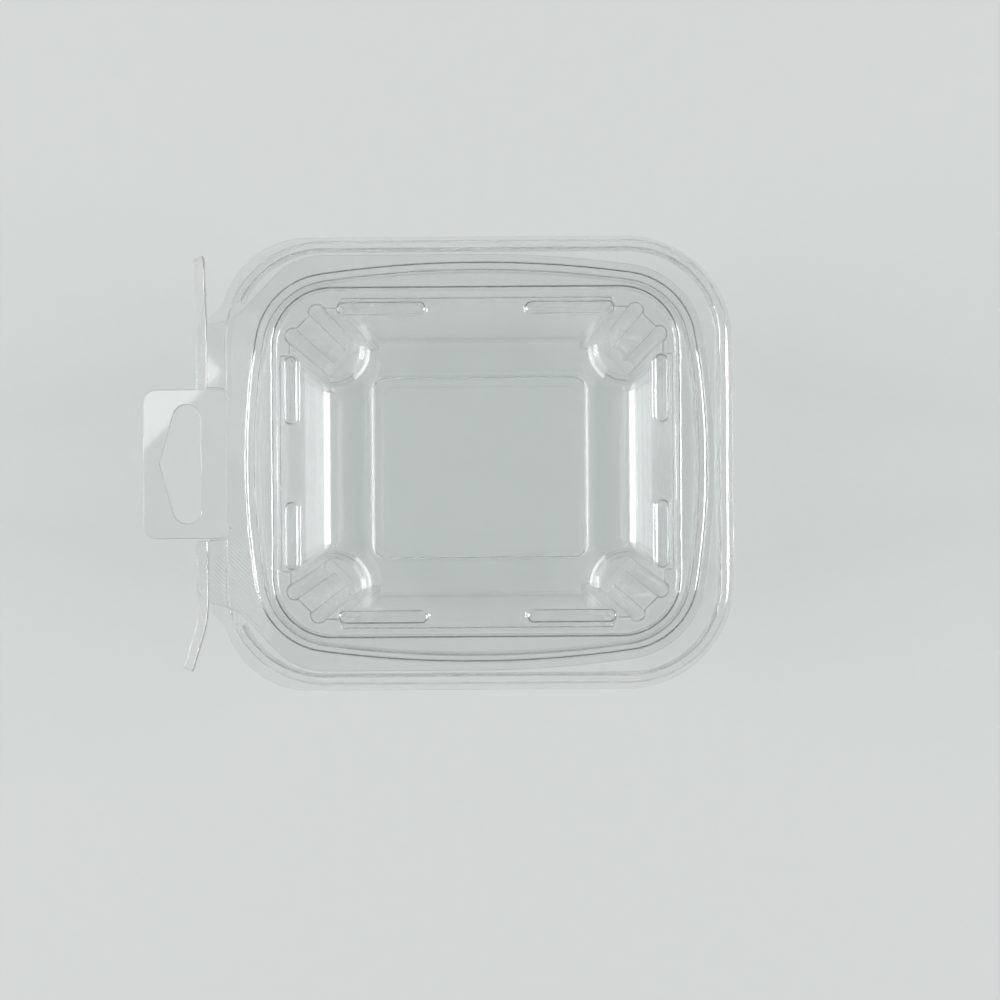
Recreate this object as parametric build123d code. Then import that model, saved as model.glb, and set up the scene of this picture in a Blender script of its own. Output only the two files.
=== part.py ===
from build123d import *
import math
import os

# Clear sheet, the gap between lid and tray, and the length by which cuts run past a face
sheet = 0.45
fit_gap = 0.3
overrun = 4.0

# Levels of the tray: the ledge above the table, then the seat, the bead and the lip from there
ledge_height = 42.5
seat_rise = 2.5
bead_rise = 3.3
lip_drop = 7.0

# Tray bowl, inside sizes at the ledge
bowl_length = 104.4
bowl_width = 87.6
bowl_draft = 7.5
floor_radius = 3.5

# Corner columns of the bowl, with a chamfer between two flutes
column_step = 2.5
side_column_length = 16.2
end_column_length = 15.2
column_chamfer = 7.2
flute_radius = 1.95
flute_inset = 0.95

# Corner toes that rise from the floor
toe_radius = 11.1
toe_height = 7.0
toe_inset = 2.3
toe_draft = 8.0
toe_edge = 1.6

# Raised floor panel
floor_panel_end_margin = 12.9
floor_panel_side_margin = 9.4
floor_panel_radius = 5.0
floor_panel_rise = 1.2
floor_panel_draft = 45.0

# Tray rim: riser, seat of the lid, bead, skirt and trim lip
riser_inset = 1.0
riser_draft = 20.0
gutter_clearance = 0.4
bead_width = 2.2
bead_draft = 8.0
bead_edge = 0.5
rim_corner_radius = 23.0
skirt_draft = 12.0
lip_width = 1.2
bead_gap_width = 84.0

# Lid: ring with bowed sides round the bowl, and the flat flange round it
ring_end_margin = 7.4
ring_side_margin = 7.9
side_bow_radius = 290.0
end_bow_radius = 200.0
ring_corner_radius = 19.5
ring_draft = 16.0
ring_rise = 4.25
ring_edge = 0.5
flange_width = 3.0

# Lid: sunk panel inside the ring
panel_end_margin = 0.2
panel_side_margin = 1.1
panel_radius = 15.0
panel_draft = 4.0

# Lid: stacking lugs, set in from the edges of the panel
lug_rise = 1.55
lug_width = 4.9
lug_draft = 25.0
lug_end_inset = 3.85
lug_side_inset = 4.5
side_lug_length = 24.6
side_lug_spacing = 49.4
end_lug_length = 19.2
end_lug_spacing = 38.2

# Lid: wing of the flange at the hinge
hinge_reach = 8.4
wing_shoulder_inset = 14.7
wing_neck_reach = 1.0
wing_neck_inset = 16.7
wing_taper = 1.4
wing_shoulder_radius = 18.0
wing_neck_radius = 12.0
wing_corner_radius = 2.0

# Hang tab with its delta-shaped peg hole
tab_width = 39.2
tab_reach = 16.7
tab_root_inset = 5.9
tab_corner_radius = 3.5
tab_root_radius = 2.7
tab_kerf = 0.4
peg_hole_length = 31.4
peg_hole_depth = 10.9
peg_hole_margin = 4.3
peg_hole_end_radius = 3.7
peg_hole_apex_radius = 0.8

# Hinge side of the tray: fuller corners and wing of the lip, and the window that the tab was cut from
lip_hinge_radius = 23.5
lip_wing_reach = 6.95
lip_wing_inset = 1.3
lip_wing_root_inset = 3.0
lip_wing_flare = 10.8
lip_wing_join_radius = 5.0
lip_wing_corner_radius = 1.5
window_clearance = 0.6

# Tear strips with their pull ends
pull_end_length = 18.6
pull_end_radius = 1.6
pull_bend_radius = 30.0
right_pull_splay = 2.0
left_pull_splay = 17.0
perforation_pitch = 2.1
perforation_depth = 0.35
perforation_share = 0.45

# Levels that follow
seat_height = ledge_height + seat_rise
crest_height = seat_height + bead_rise
lip_height = seat_height - lip_drop
lid_base = seat_height + fit_gap
lid_top = lid_base + sheet
ring_height = lid_top + ring_rise

# Lengths that follow
bowl_depth = ledge_height - sheet
bowl_slope = math.tan(math.radians(bowl_draft))
ring_half_length = bowl_length / 2 + ring_end_margin
ring_half_width = bowl_width / 2 + ring_side_margin
flange_half_length = ring_half_length + flange_width
flange_half_width = ring_half_width + flange_width
panel_half_length = bowl_length / 2 + panel_end_margin
panel_half_width = bowl_width / 2 + panel_side_margin
gutter_length = 2 * (flange_half_length + gutter_clearance)
gutter_width = 2 * (flange_half_width + gutter_clearance)
bead_flare = bead_rise * math.tan(math.radians(bead_draft))
skirt_slope = math.tan(math.radians(skirt_draft))
skirt_margin = bead_flare + bead_width + (crest_height - lip_height) * skirt_slope
skirt_length = gutter_length + 2 * skirt_margin
skirt_width = gutter_width + 2 * skirt_margin
skirt_radius = rim_corner_radius + skirt_margin
lip_reach = skirt_length / 2 + lip_width
hinge_distance = flange_half_length + hinge_reach
wing_neck_half_width = flange_half_width - wing_neck_inset
wing_half_width = wing_neck_half_width - wing_taper
tab_end_distance = hinge_distance + tab_reach
tab_root_distance = hinge_distance - tab_root_inset
lip_wing_distance = lip_reach + lip_wing_reach
lip_wing_half_width = wing_half_width - lip_wing_inset
window_half_width = tab_width / 2 + window_clearance


def bowed_outline(grow):
    """Rounded rectangle whose four sides are shallow arcs, grown by a margin."""
    half_length = ring_half_length + grow
    half_width = ring_half_width + grow
    side = side_bow_radius + grow
    end = end_bow_radius + grow
    outline = Pos(0, half_width - side) * Circle(side)
    outline &= Pos(0, side - half_width) * Circle(side)
    outline &= Pos(half_length - end, 0) * Circle(end)
    outline &= Pos(end - half_length, 0) * Circle(end)
    return fillet(outline.vertices(), ring_corner_radius + grow)


def raised(outline, low, high, draft):
    """Solid from one level up to another, closing in by the draft, or opening if it is below zero."""
    return extrude(Pos(0, 0, low) * outline, amount=high - low, taper=draft)


def bevel_top(solid, edge):
    """The solid with its topmost edges bevelled, or left sharp where the bevel is zero."""
    return chamfer(solid.edges().group_by(Axis.Z)[-1], edge) if edge else solid


def at_corners(solid):
    """The solid of the first quarter, and its mirror images in the other three."""
    pair = [solid, mirror(solid, about=Plane.YZ)]
    return pair + [mirror(one, about=Plane.XZ) for one in pair]


# Bowl of the tray


def corner_column(grow):
    """Chamfered post with two flutes that fills a corner of the bowl and leans with its walls."""
    corner_x = bowl_length / 2 - column_step
    corner_y = bowl_width / 2 - column_step
    chamfer_leg = column_chamfer + (2 - math.sqrt(2)) * grow
    far_x = bowl_length / 2 + overrun
    far_y = bowl_width / 2 + overrun
    jog_x = bowl_length / 2 - side_column_length + grow
    jog_y = bowl_width / 2 - end_column_length + grow
    points = [
        (jog_x, far_y),
        (jog_x, corner_y + grow),
        (corner_x + grow - chamfer_leg, corner_y + grow),
        (corner_x + grow, corner_y + grow - chamfer_leg),
        (corner_x + grow, jog_y),
        (far_x, jog_y),
        (far_x, far_y),
    ]
    lean = Vector(-bowl_slope, -bowl_slope, -1)
    length = (ledge_height + 2 * overrun) * lean.length
    start = lean * -overrun + (0, 0, ledge_height)
    section = Pos(start) * make_face(Polyline(*points, close=True))
    column = extrude(section, amount=length, dir=lean.normalized())
    for inset_x, inset_y in ((column_chamfer, flute_inset), (flute_inset, column_chamfer)):
        head = start + (corner_x - inset_x, corner_y - inset_y)
        column -= extrude(Plane(head, z_dir=lean) * Circle(flute_radius + grow), amount=length)
    return column


def toe(grow):
    """Toe in the corner of the floor: a steep cone with a bevelled top edge."""
    floor = sheet - grow
    foot = toe_radius - grow
    edge = toe_edge - (2 - math.sqrt(2)) * grow
    shoulder_height = toe_height - edge
    shoulder = foot - shoulder_height * math.tan(math.radians(toe_draft))
    profile = [
        (0, floor - overrun),
        (foot, floor - overrun),
        (foot, floor),
        (shoulder, floor + shoulder_height),
        (shoulder - edge, floor + toe_height),
        (0, floor + toe_height),
    ]
    inset = toe_inset + bowl_depth * bowl_slope
    turned = revolve(Plane.XZ * make_face(Polyline(*profile, close=True)), Axis.Z)
    return Pos(bowl_length / 2 - inset, bowl_width / 2 - inset) * turned


def floor_panel(grow):
    """Shallow raised panel in the middle of the floor."""
    floor = sheet - grow
    wall_run = bowl_depth * bowl_slope
    plan = RectangleRounded(
        bowl_length - 2 * (wall_run + floor_panel_end_margin + grow),
        bowl_width - 2 * (wall_run + floor_panel_side_margin + grow),
        floor_panel_radius - grow,
    )
    rise = raised(plan, floor, floor + floor_panel_rise, floor_panel_draft)
    return rise + raised(plan, floor - overrun, floor, 0)


def bowl(grow):
    """Space inside the tray, grown on all sides but the top."""
    mouth = Rectangle(bowl_length + 2 * grow, bowl_width + 2 * grow)
    space = extrude(Pos(0, 0, ledge_height) * mouth, amount=-bowl_depth - grow, taper=bowl_draft)
    space = fillet(space.edges().group_by(Axis.Z)[0], floor_radius + grow)
    for column in at_corners(corner_column(grow)):
        space -= column
    for one in at_corners(toe(grow)):
        space -= one
    return space - floor_panel(grow)


# Rim of the tray


def hinge_side_box(half_width, near, low, high):
    """Block on the hinge side, from a distance outwards."""
    reach = tab_end_distance + overrun - near
    block = Box(reach, 2 * half_width, high - low, align=(Align.MAX, Align.CENTER, Align.MIN))
    return Pos(-near, 0, low) * block


def rim(skin, edge):
    """Body under the rim's upper face, or under its lower face where the skin is the sheet."""
    plan = RectangleRounded(skirt_length - 2 * skin, skirt_width - 2 * skin, skirt_radius - skin)
    body = raised(plan, lip_height, crest_height - skin, skirt_draft)
    gutter = RectangleRounded(gutter_length + 2 * skin, gutter_width + 2 * skin, rim_corner_radius + skin)
    body -= raised(gutter, seat_height - skin, crest_height + overrun, -bead_draft)
    body = bevel_top(body, edge)
    body -= hinge_side_box(bead_gap_width / 2 + skin, gutter_length / 2 - bead_width, seat_height - skin,
                           crest_height + overrun)
    foot = skin - riser_inset - seat_rise * math.tan(math.radians(riser_draft))
    return body - raised(bowed_outline(foot), ledge_height - skin, crest_height, -riser_draft)


def trim_lip():
    """Flat lip at the foot of the skirt, with the wing that carries the tear strips."""
    lip = Rectangle(2 * lip_reach, skirt_width + 2 * lip_width)
    lip = fillet(lip.vertices().group_by(Axis.X)[0], lip_hinge_radius)
    lip = fillet(lip.vertices().group_by(Axis.X)[-1], skirt_radius + lip_width)
    root = (lip_wing_root_inset - lip_reach, lip_wing_half_width + lip_wing_flare)
    tip = (-lip_wing_distance, lip_wing_half_width)
    half = [(0, root[1]), root, tip]
    lip += make_face(Polyline(*half, *[(x, -y) for x, y in reversed(half)], close=True))
    joins = [v for v in lip.vertices() if tip[0] < v.X < root[0] and tip[1] < abs(v.Y) < root[1]]
    lip = fillet(joins, lip_wing_join_radius)
    lip = fillet(lip.vertices().group_by(Axis.X)[0], lip_wing_corner_radius)
    return raised(lip, lip_height, lip_height + sheet, 0)


def base_tray():
    """Tray with its bowl, rim and hinge-side window."""
    fold_edge = skirt_length / 2 - lip_drop * skirt_slope
    tray = rim(0, bead_edge) + trim_lip() - rim(sheet, 0)
    tray -= hinge_side_box(window_half_width, fold_edge - sheet, lip_height - overrun, seat_height + overrun)
    return tray + bowl(sheet) - bowl(0)


# Lid


def lid_ring(skin, edge):
    """Raised ring between the bowed wall and the sunk panel."""
    flare = (ring_height - lid_base) * math.tan(math.radians(ring_draft))
    top = ring_height - skin
    ring = raised(bowed_outline(flare - skin), lid_base, top, ring_draft)
    panel = RectangleRounded(
        2 * (panel_half_length + skin),
        2 * (panel_half_width + skin),
        panel_radius + skin,
    )
    ring -= raised(panel, lid_base - overrun, lid_base, 0)
    ring -= raised(panel, lid_base, top + overrun, -panel_draft)
    return bevel_top(ring, edge)


def lug(length, skin):
    """One stacking lug with sloped sides and round ends."""
    plan = SlotOverall(length - 2 * skin, lug_width - 2 * skin)
    return raised(plan, lid_base, lid_top + lug_rise - skin, lug_draft)


def lugs(skin):
    """Two lugs along each side of the sunk panel."""
    row_y = panel_half_width - lug_side_inset
    row_x = panel_half_length - lug_end_inset
    side_lug = Pos(side_lug_spacing / 2, row_y) * lug(side_lug_length, skin)
    end_lug = Pos(row_x, end_lug_spacing / 2) * Rot(0, 0, 90) * lug(end_lug_length, skin)
    return at_corners(side_lug) + at_corners(end_lug)


def hinge_wing():
    """Part of the flange that narrows from the pack's width to the hinge."""
    shoulder = (wing_shoulder_inset - flange_half_length, flange_half_width)
    neck = (-flange_half_length - wing_neck_reach, wing_neck_half_width)
    tip = (-hinge_distance, wing_half_width)
    half = [(0, flange_half_width), shoulder, neck, tip]
    wing = make_face(Polyline(*half, *[(x, -y) for x, y in reversed(half)], close=True))
    bends = ((shoulder, wing_shoulder_radius), (neck, wing_neck_radius), (tip, wing_corner_radius))
    for point, radius in bends:
        ends = [v for v in wing.vertices() if math.hypot(v.X - point[0], abs(v.Y) - point[1]) < sheet]
        wing = fillet(ends, radius)
    return wing


def tab_outline(grow):
    """Hang tab as a rounded rectangle with tighter corners at its root."""
    length = tab_end_distance - tab_root_distance
    tab = Rectangle(length + 2 * grow, tab_width + 2 * grow)
    tab = fillet(tab.vertices().group_by(Axis.X)[0], tab_corner_radius + grow)
    tab = fillet(tab.vertices().group_by(Axis.X)[-1], tab_root_radius + grow)
    return Pos(-tab_root_distance - length / 2, 0) * tab


def peg_hole():
    """Delta-shaped hole: a straight inner side, round ends, and an apex outwards for the peg."""
    apex_x = peg_hole_margin - tab_end_distance
    end = Pos(apex_x + peg_hole_depth - peg_hole_end_radius, peg_hole_length / 2 - peg_hole_end_radius)
    rounds = end * Circle(peg_hole_end_radius) + mirror(end * Circle(peg_hole_end_radius), about=Plane.XZ)
    return make_hull((rounds + Pos(apex_x + peg_hole_apex_radius, 0) * Circle(peg_hole_apex_radius)).edges())


def hinged_lid():
    """Lid sheet with its ring, lugs and hang tab."""
    slit = tab_outline(tab_kerf) - tab_outline(0)
    slit -= Pos(-tab_root_distance, 0) * Rectangle(2 * tab_kerf, tab_width - 2 * tab_root_radius)
    sheet_plan = bowed_outline(flange_width) + hinge_wing() - slit + tab_outline(0) - peg_hole()
    lid = raised(sheet_plan, lid_base, lid_top, 0) + lid_ring(0, ring_edge)
    for one in lugs(0):
        lid += one
    lid -= lid_ring(sheet, 0)
    for one in lugs(sheet):
        lid -= one
    return lid


# Tear strips


def tear_strip(splay):
    """Strip that leans from the lip's wing up to the lid's edge, with a pull end bent outwards."""
    start = window_half_width
    bend = wing_half_width
    end = bend + pull_end_length
    foot = lip_height + sheet
    head = lid_base - fit_gap
    x = sheet - lip_wing_distance
    lean = Vector(-hinge_distance - x, 0, head - foot)
    run = Line((x, start), (x, bend))
    arc = JernArc((x, bend), (0, 1), pull_bend_radius, splay)
    tail = Line(arc @ 1, arc @ 1 + (arc % 1) * (end - (arc @ 1).Y))
    band = trace([run, arc, tail], sheet * lean.length / lean.Z)
    body = extrude(Pos(0, 0, foot) * band, amount=lean.length, dir=lean.normalized())
    side = Rectangle(end - start + overrun, head - foot, align=(Align.MAX, Align.MIN))
    side = fillet(side.vertices().group_by(Axis.X)[-1], pull_end_radius)
    mask = extrude(Plane.YZ * Pos(end, foot) * side, amount=-2 * tab_end_distance)
    slot = Box(2 * overrun, perforation_share * perforation_pitch, 2 * perforation_depth)
    count = int((bend - start) / perforation_pitch)
    cuts = [
        Pos(x, start + (i + perforation_share) * perforation_pitch, level) * slot
        for i in range(count)
        for level in (foot, head)
    ]
    return (body & mask) - cuts


# The origin goes to the table, under the middle of the whole pack with its tab

to_middle = Pos((tab_end_distance - lip_reach) / 2, 0)
nodes = {
    "base_tray": base_tray(),
    "hinged_lid": hinged_lid(),
    "right_tear_strip": tear_strip(right_pull_splay),
    "left_tear_strip": mirror(tear_strip(left_pull_splay), about=Plane.XZ),
}
os.makedirs("parts", exist_ok=True)
for name, shape in nodes.items():
    export_step(to_middle * shape, f"parts/{name}.step")
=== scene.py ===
import math

import bmesh
import bpy
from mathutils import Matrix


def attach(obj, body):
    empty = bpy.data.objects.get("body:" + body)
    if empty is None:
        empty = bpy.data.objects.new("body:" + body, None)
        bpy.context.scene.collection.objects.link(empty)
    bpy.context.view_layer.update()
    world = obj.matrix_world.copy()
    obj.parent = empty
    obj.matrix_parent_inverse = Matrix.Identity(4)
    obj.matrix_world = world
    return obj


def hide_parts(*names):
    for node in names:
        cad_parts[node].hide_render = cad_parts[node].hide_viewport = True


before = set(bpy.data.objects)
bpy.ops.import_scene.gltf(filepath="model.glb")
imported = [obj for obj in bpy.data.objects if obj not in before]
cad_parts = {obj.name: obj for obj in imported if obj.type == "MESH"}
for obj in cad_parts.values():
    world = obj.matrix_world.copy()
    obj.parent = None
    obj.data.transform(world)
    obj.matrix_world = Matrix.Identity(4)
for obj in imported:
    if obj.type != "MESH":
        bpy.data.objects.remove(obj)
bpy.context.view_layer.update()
scene = bpy.context.scene
scene.view_settings.view_transform = "Standard"

# The tray: bowl with fluted corners, ledge, lid seat, bead, skirt and lip, in one sheet of clear PET.
# The sheet is drawn over a mould, so every bend is round, tighter on its inside than on its outside.
# The lip, its wing and the window for the hang tab are die-cut, which leaves upright edges with a fine burr.

mm = 0.001
outer_bend = 0.8 * mm
inner_bend = 0.35 * mm
trim_burr = 0.2 * mm
least_bend = math.radians(20)
sharpest_bend = math.radians(92)
widest_offset = 1.5 * mm
merge_gap = 0.002 * mm
flat_angle = math.radians(0.2)
smooth_angle = math.radians(40)
upright_limit = 0.02
pack_middle = 9.32 * mm
bowl_reach = 54 * mm
bowl_span = 45 * mm
bead_foot = 45 * mm
bead_end_x = (-56 * mm, -48.2 * mm)
bead_end_y = (40.5 * mm, 43.5 * mm)


def offset_of(edge, is_trim):
    """How far from an edge its rounding starts: from the bend's radius, or the burr of a die-cut edge."""
    turn = edge.calc_face_angle_signed(0.0)
    if abs(turn) < least_bend:
        return 0.0
    cut = [is_trim(face.normal, face.calc_center_median()) for face in edge.link_faces]
    if any(cut):
        return 0.0 if all(cut) else trim_burr
    middle = (edge.verts[0].co + edge.verts[1].co) / 2
    if bead_end_x[0] < middle.x < bead_end_x[1] and bead_end_y[0] < abs(middle.y) < bead_end_y[1]:
        return 0.0
    radius = outer_bend if turn > 0 else inner_bend
    return radius * math.tan(min(abs(turn), sharpest_bend) / 2)


def bent_sheet(node, name, is_trim, steps, materials):
    """A merged copy of a node with its bends and die-cut edges rounded. Cut faces have the last material."""
    piece = bpy.data.objects.new(name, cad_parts[node].data.copy())
    piece.data.materials.clear()
    for material in materials:
        piece.data.materials.append(material)
    scene.collection.objects.link(piece)
    bpy.ops.object.select_all(action="DESELECT")
    piece.select_set(True)
    bpy.context.view_layer.objects.active = piece
    bpy.ops.object.mode_set(mode="EDIT")
    bpy.ops.mesh.select_all(action="SELECT")
    bpy.ops.mesh.remove_doubles(threshold=merge_gap)
    bpy.ops.mesh.customdata_custom_splitnormals_clear()
    bpy.ops.mesh.dissolve_limited(angle_limit=flat_angle)
    mesh = bmesh.from_edit_mesh(piece.data)
    mesh.normal_update()
    weight = mesh.edges.layers.float.new("bevel_weight_edge")
    for edge in mesh.edges:
        edge[weight] = offset_of(edge, is_trim) / widest_offset
    for face in mesh.faces:
        is_cut = is_trim(face.normal, face.calc_center_median())
        face.material_index = len(materials) - 1 if is_cut else 0
    bmesh.update_edit_mesh(piece.data)
    bpy.ops.object.mode_set(mode="OBJECT")
    rounding = piece.modifiers.new("rounding", "BEVEL")
    rounding.limit_method = "WEIGHT"
    rounding.width = widest_offset
    rounding.segments = steps
    rounding.use_clamp_overlap = False
    rounding.loop_slide = False
    bpy.ops.object.modifier_apply(modifier=rounding.name)
    bpy.ops.object.shade_smooth_by_angle(angle=smooth_angle)
    evening = piece.modifiers.new("evening", "WEIGHTED_NORMAL")
    evening.keep_sharp = True
    bpy.ops.object.modifier_apply(modifier=evening.name)
    return piece


def is_tray_trim(normal, middle):
    """Whether a face is an upright die-cut edge, outside the bowl and below the bead."""
    outside = abs(middle.x - pack_middle) > bowl_reach or abs(middle.y) > bowl_span
    return abs(normal.z) < upright_limit and outside and middle.z < bead_foot


def linear(hex_colour):
    """An sRGB hex colour as the linear colour that shaders take."""
    channels = [int(hex_colour[i:i + 2], 16) / 255 for i in (1, 3, 5)]
    return [c / 12.92 if c <= 0.04045 else ((c + 0.055) / 1.055) ** 2.4 for c in channels] + [1.0]


def add(tree, kind, settings=(), links=()):
    """A shader node with its properties or named inputs set, and other inputs linked or set."""
    node = tree.nodes.new(kind)
    for key, value in dict(settings).items():
        if key in node.inputs:
            node.inputs[key].default_value = value
        else:
            setattr(node, key, value)
    for key, source in dict(links).items():
        if isinstance(source, bpy.types.NodeSocket):
            tree.links.new(source, node.inputs[key])
        else:
            node.inputs[key].default_value = source
    return node


# Clear PET, thermoformed: a neutral glossy sheet that shows the floor through it a little greyer.
# The draw leaves its faces very slightly wavy, so what they mirror is never quite straight.
wave_length = 14 * mm
wave_height = 0.12 * mm


def clear_pet(name, body):
    """Clear PET, where body is the share of light that the sheet bends, and its place and shader nodes."""
    material = bpy.data.materials.new(name)
    material.use_nodes = True
    tree = material.node_tree
    tree.nodes.clear()
    place = add(tree, "ShaderNodeTexCoord")
    wave = add(tree, "ShaderNodeTexNoise", {"Scale": 1 / wave_length, "Detail": 1.0, "Roughness": 0.4},
               {"Vector": place.outputs["Object"]})
    waviness = add(tree, "ShaderNodeBump", {"Strength": 0.03, "Distance": wave_height},
                   {"Height": wave.outputs["Fac"]})
    gloss = add(tree, "ShaderNodeBsdfPrincipled", {
        "Base Color": linear("#fcfdfd"),
        "Roughness": 0.03,
        "IOR": 1.575,
        "Transmission Weight": 1.0,
        "Alpha": body,
        "Coat Weight": 0.3,
        "Coat Roughness": 0.03,
        "Coat IOR": 1.6,
    }, {"Normal": waviness.outputs["Normal"]})
    bare = add(tree, "ShaderNodeBsdfTransparent", {"Color": linear("#fcfdfd")})
    path = add(tree, "ShaderNodeLightPath")
    lamp_light = add(tree, "ShaderNodeMixShader", (), {
        0: path.outputs["Is Shadow Ray"],
        1: gloss.outputs[0],
        2: bare.outputs[0],
    })
    floor_light = add(tree, "ShaderNodeMixShader", (), {
        0: path.outputs["Is Diffuse Ray"],
        1: lamp_light.outputs[0],
        2: bare.outputs[0],
    })
    add(tree, "ShaderNodeOutputMaterial", (), {"Surface": floor_light.outputs[0]})
    return material, place, waviness, gloss


def ramp(tree, factor, stops):
    """A colour ramp of grey stops, each a position and a value."""
    node = add(tree, "ShaderNodeValToRGB", (), {0: factor})
    elements = node.color_ramp.elements
    while len(elements) < len(stops):
        elements.new(0.5)
    for element, (position, value) in zip(elements, stops):
        element.position = position
        element.color = (value, value, value, 1.0)
    return node


# Low on the side walls between the columns, on the floor panel's sides and on the toes, the real sheet
# mirrors soft light.
# A painted reflection stands in for part of it: a faint diffuse sheen in level streaks, placed by height and
# position.
# The sheet keeps its body at the bowl's edge, which reads as a dark line.
streak = 1.8 * mm
column_start = 22.8 * mm
column_lean = 0.145
column_blend = 1 * mm
panel_side = 31.9 * mm
panel_blend = 0.3 * mm
wall_foot = 38 * mm
pack_height = 50 * mm
# Share of painted reflection, as a diffuse sheen, by height; then the share of the sheet's body by height.
painted_sheen_by_height = ((0.02, 0.0), (0.03, 0.45), (0.065, 0.45), (0.085, 0.11), (0.3, 0.13), (0.36, 0.18),
                  (0.42, 0.15), (0.45, 0.02))
body_by_height = ((0.04, 0.8), (0.12, 0.62), (0.79, 0.62), (0.835, 0.95), (0.86, 0.95), (0.9, 0.6))

tray_pet, place, waviness, gloss = clear_pet("clear_pet_drawn_tray", 0.8)
tree = tray_pet.node_tree
spot = add(tree, "ShaderNodeSeparateXYZ", (), {0: place.outputs["Object"]})
level = add(tree, "ShaderNodeMapRange", {"From Min": 0.0, "From Max": pack_height},
            {"Value": spot.outputs["Z"]})
across = add(tree, "ShaderNodeMath", {"operation": "ABSOLUTE"}, {0: spot.outputs["Y"]})
rise = add(tree, "ShaderNodeMath", {"operation": "MULTIPLY"}, {0: spot.outputs["Z"], 1: column_lean})
plumb = add(tree, "ShaderNodeMath", {"operation": "SUBTRACT"}, {0: across.outputs[0], 1: rise.outputs[0]})
column = add(tree, "ShaderNodeMapRange", {"From Min": column_start, "From Max": column_start + column_blend},
             {"Value": plumb.outputs[0]})
from_middle = add(tree, "ShaderNodeMath", {"operation": "SUBTRACT"}, {0: spot.outputs["X"], 1: pack_middle})
away = add(tree, "ShaderNodeMath", {"operation": "ABSOLUTE"}, {0: from_middle.outputs[0]})
beside = add(tree, "ShaderNodeMapRange", {"From Min": panel_side, "From Max": panel_side + panel_blend},
             {"Value": away.outputs[0]})
wall = add(tree, "ShaderNodeMath", {"operation": "GREATER_THAN"}, {0: away.outputs[0], 1: wall_foot})
hidden = add(tree, "ShaderNodeMath", {"operation": "MULTIPLY"}, {0: wall.outputs[0], 1: column.outputs[0]})
shown = add(tree, "ShaderNodeMath", {"operation": "SUBTRACT"}, {0: beside.outputs[0], 1: hidden.outputs[0]})
streaks = add(tree, "ShaderNodeTexNoise", {"noise_dimensions": "1D", "Scale": 1 / streak, "Detail": 2.0},
              {"W": spot.outputs["Z"]})
streaky = add(tree, "ShaderNodeMapRange", {"From Min": 0.3, "From Max": 0.7, "To Min": 0.35, "To Max": 1.65},
              {"Value": streaks.outputs["Fac"]})
# Painted reflection: a diffuse sheen by height, in level streaks, only where shown, taken out of the
# transmission.
painted_sheen = ramp(tree, level.outputs[0], painted_sheen_by_height)
streaked_sheen = add(tree, "ShaderNodeMath", {"operation": "MULTIPLY"},
           {0: painted_sheen.outputs["Color"], 1: streaky.outputs[0]})
placed_sheen = add(tree, "ShaderNodeMath", {"operation": "MULTIPLY"}, {0: streaked_sheen.outputs[0], 1: shown.outputs[0]})
clear = add(tree, "ShaderNodeMath", {"operation": "SUBTRACT"}, {0: 1.0, 1: placed_sheen.outputs[0]})
body = ramp(tree, level.outputs[0], body_by_height)
tree.links.new(clear.outputs[0], gloss.inputs["Transmission Weight"])
tree.links.new(body.outputs["Color"], gloss.inputs["Alpha"])

tray = bent_sheet("base_tray", "formed_tray", is_tray_trim, 4, (tray_pet,))
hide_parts("base_tray")
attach(tray, "tray")

# The lid: flat sheet with a raised ring, eight stacking lugs, a flange, the hinge wing and the hang tab.
# It is formed in the same sheet as the tray, folded over at the hinge and die-cut all round.


def is_lid_trim(normal, middle):
    """Whether a face is an upright die-cut edge, as every upright face of the lid is."""
    return abs(normal.z) < upright_limit


# The cut edge of the sheet: torn by the die, so it is rough and scatters light. Its dark grey is painted
# shade, standing in for the dark line that the clear edge shows end-on, and reads as a fine grey line. The
# burr is uneven along the cut, in spots of about a millimetre.
burr_spot = 1 * mm
shaded_cut_edge = bpy.data.materials.new("die_cut_pet_edge_painted_shade")
shaded_cut_edge.use_nodes = True
tree = shaded_cut_edge.node_tree
tree.nodes.clear()
place = add(tree, "ShaderNodeTexCoord")
spots = add(tree, "ShaderNodeTexNoise", {"Scale": 1 / burr_spot, "Detail": 2.0},
            {"Vector": place.outputs["Object"]})
# Painted shade: two dark greys, varied in spots, for the dark line along the cut edge.
shade = add(tree, "ShaderNodeValToRGB", (), {0: spots.outputs["Fac"]})
shade.color_ramp.elements[0].color = linear("#3f4544")
shade.color_ramp.elements[1].color = linear("#6d7473")
rough = add(tree, "ShaderNodeBsdfPrincipled", {"Roughness": 0.5, "Alpha": 0.9},
            {"Base Color": shade.outputs["Color"]})
add(tree, "ShaderNodeOutputMaterial", (), {"Surface": rough.outputs[0]})

# The lid's clear PET is the tray's, less drawn. The plate of the mould leaves a fine diagonal hatch on one
# corner of the flange. A wave texture has 20 / (2 pi) bands in a length of one over its scale.
hatch_pitch = 0.8 * mm
hatch_depth = 0.05 * mm
hatch_angle = math.radians(-45)
patch_size = (8 * mm, 14 * mm)
patch_place = (-53.5 * mm, -34 * mm)
patch_fade = (0.8, 1.1)

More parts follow.
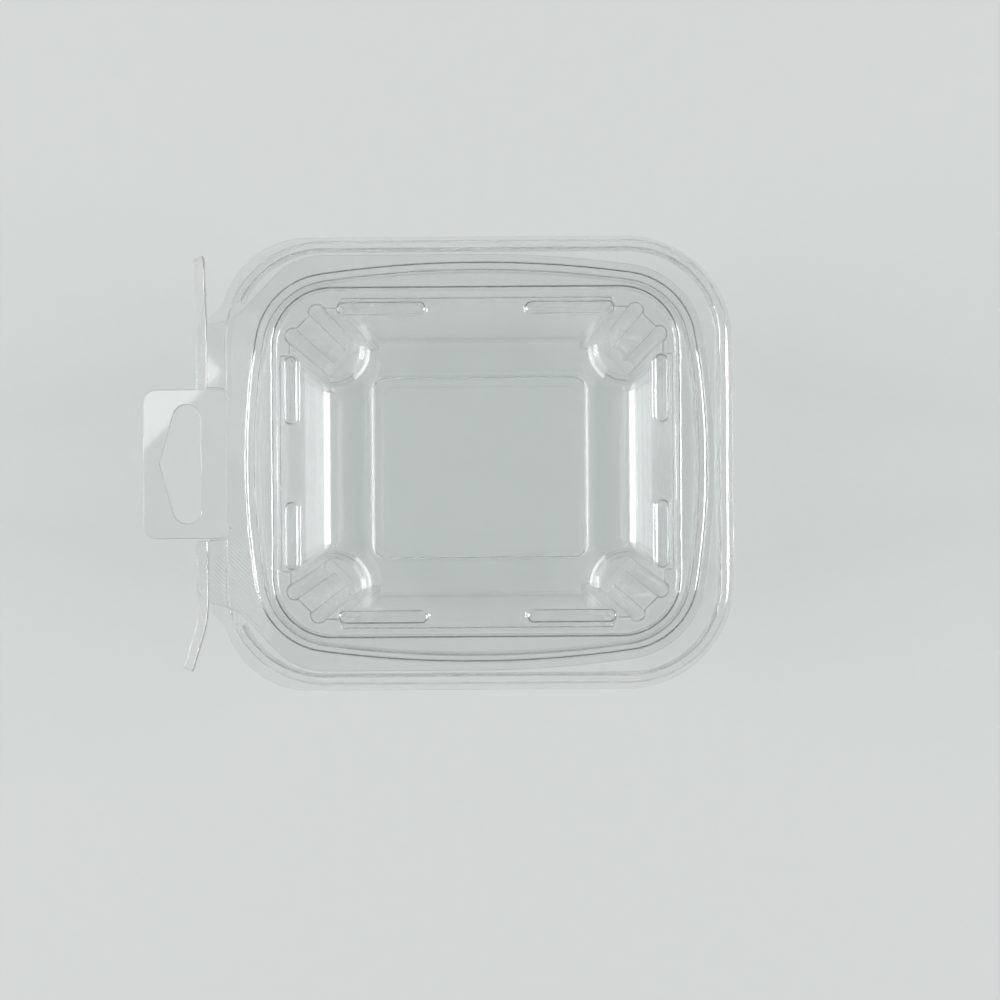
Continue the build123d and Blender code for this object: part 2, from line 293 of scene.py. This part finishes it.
lid_pet, place, waviness, gloss = clear_pet("clear_pet_flat_lid", 0.92)
tree = lid_pet.node_tree
slant = add(tree, "ShaderNodeMapping", {"Rotation": (0, 0, hatch_angle)}, {"Vector": place.outputs["Object"]})
hatch = add(tree, "ShaderNodeTexWave", {"Scale": 2 * math.pi / 20 / hatch_pitch},
            {"Vector": slant.outputs[0]})
patch = add(tree, "ShaderNodeMapping", {
    "Location": (-patch_place[0] / patch_size[0], -patch_place[1] / patch_size[1], 0),
    "Scale": (1 / patch_size[0], 1 / patch_size[1], 0),
}, {"Vector": place.outputs["Object"]})
reach = add(tree, "ShaderNodeVectorMath", {"operation": "LENGTH"}, {0: patch.outputs[0]})
inside = add(tree, "ShaderNodeMapRange", {
    "From Min": patch_fade[0],
    "From Max": patch_fade[1],
    "To Min": 1.0,
    "To Max": 0.0,
}, {"Value": reach.outputs["Value"]})
depth = add(tree, "ShaderNodeMath", {"operation": "MULTIPLY"},
            {0: hatch.outputs["Fac"], 1: inside.outputs[0]})
hatching = add(tree, "ShaderNodeBump", {"Strength": 0.6, "Distance": hatch_depth},
               {"Height": depth.outputs[0], "Normal": waviness.outputs["Normal"]})
scuff = add(tree, "ShaderNodeMapRange", {"To Min": 1.0, "To Max": 0.88}, {"Value": depth.outputs[0]})
tree.links.new(hatching.outputs["Normal"], gloss.inputs["Normal"])
tree.links.new(scuff.outputs[0], gloss.inputs["Transmission Weight"])

lid = bent_sheet("hinged_lid", "formed_lid", is_lid_trim, 4, (lid_pet, shaded_cut_edge))
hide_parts("hinged_lid")
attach(lid, "lid")

# The tear strips: two perforated bands between the tray's lip and the lid's edge, each with a free pull end.
# They are cut from the same sheet, stay with the tray when the lid turns and are torn off to open the pack.

strip_edge_limit = 0.6


def is_strip_trim(normal, middle):
    """Whether a face is a cut edge of a strip, or a side of one of its perforations."""
    return abs(normal.z) < strip_edge_limit


strip_pet = clear_pet("clear_pet_strip", 0.8)[0]
for node in ("right_tear_strip", "left_tear_strip"):
    strip = bent_sheet(node, node.replace("tear", "perforated"), is_strip_trim, 2, (strip_pet,))
    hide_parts(node)
    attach(strip, "tray")

# The floor is a sheet of matt pale paper that the pack stands on.
# Its fibres lie in faint clouds, which give it a hardly visible mottle.

floor_size = 1.8
floor_drop = 0.3 * mm
fibre_cloud = 6 * mm
bpy.ops.object.select_all(action="DESELECT")
bpy.ops.mesh.primitive_plane_add(size=floor_size, location=(0, 0, -floor_drop))
floor = bpy.context.object
floor.name = "paper_floor"
paper = bpy.data.materials.new("matt_white_paper")
paper.use_nodes = True
tree = paper.node_tree
tree.nodes.clear()
place = add(tree, "ShaderNodeTexCoord")
cloud = add(tree, "ShaderNodeTexNoise", {"Scale": 1 / fibre_cloud, "Detail": 3.0},
            {"Vector": place.outputs["Object"]})
tone = add(tree, "ShaderNodeValToRGB", (), {0: cloud.outputs["Fac"]})
tone.color_ramp.elements[0].color = linear("#d4d7d5")
tone.color_ramp.elements[1].color = linear("#d6d9d7")
fibre = add(tree, "ShaderNodeBsdfPrincipled", {"Roughness": 0.9, "Specular IOR Level": 0.2},
            {"Base Color": tone.outputs["Color"]})
add(tree, "ShaderNodeOutputMaterial", (), {"Surface": fibre.outputs[0]})
floor.data.materials.append(paper)

# Studio light: a far softbox low on each side, which draws the bright lines along the pack's bends, and two
# dim ones over the hinge side, which the hang tab mirrors. The room is grey, and the camera's own rays alone
# see a pale backdrop in its place.

world = bpy.data.worlds.new("grey_room")
scene.world = world
world.use_nodes = True
tree = world.node_tree
tree.nodes.clear()
path = add(tree, "ShaderNodeLightPath")
room = add(tree, "ShaderNodeBackground", {"Color": linear("#6f7171"), "Strength": 1.0})
backdrop = add(tree, "ShaderNodeBackground", {"Color": linear("#d5d8d6"), "Strength": 1.0})
seen = add(tree, "ShaderNodeMixShader", (), {
    0: path.outputs["Is Camera Ray"],
    1: room.outputs[0],
    2: backdrop.outputs[0],
})
add(tree, "ShaderNodeOutputWorld", (), {"Surface": seen.outputs[0]})

for name, place, tilt, turn, size, power in (
    ("softbox_left", (-4.0, 0, 0.9), -77, 0, (0.93, 2.1), 322.0),
    ("softbox_right", (4.0, 0, 0.9), 77, 0, (0.93, 2.1), 322.0),
    ("softbox_high", (-0.443, 0.16, 1.0), 0, 45, (0.16, 0.2), 0.18),
    ("softbox_over_hinge", (-0.345, 0.02, 1.02), 0, 0, (0.165, 0.4), 0.06),
):
    angles = (0, math.radians(tilt), math.radians(turn))
    bpy.ops.object.light_add(type="AREA", location=place, rotation=angles)
    lamp = bpy.context.object
    lamp.name = name
    lamp.data.shape = "RECTANGLE"
    lamp.data.size = size[0]
    lamp.data.size_y = size[1]
    lamp.data.energy = power

# The camera looks straight down from about 0.3 m, with a very slight roll, as in the photograph.
# Its place and focal length were fitted to the pack's corners and edges.

camera_place = (15.39 * mm, -9.99 * mm, 315.4 * mm)
camera_roll = math.radians(-0.4)
sensor_width = 36.0
focal_ratio = 1.026
bpy.ops.object.camera_add(location=camera_place, rotation=(0, 0, camera_roll))
camera = bpy.context.object
camera.data.sensor_width = sensor_width
camera.data.lens = sensor_width * focal_ratio
camera.data.clip_start = 0.01
scene.camera = camera
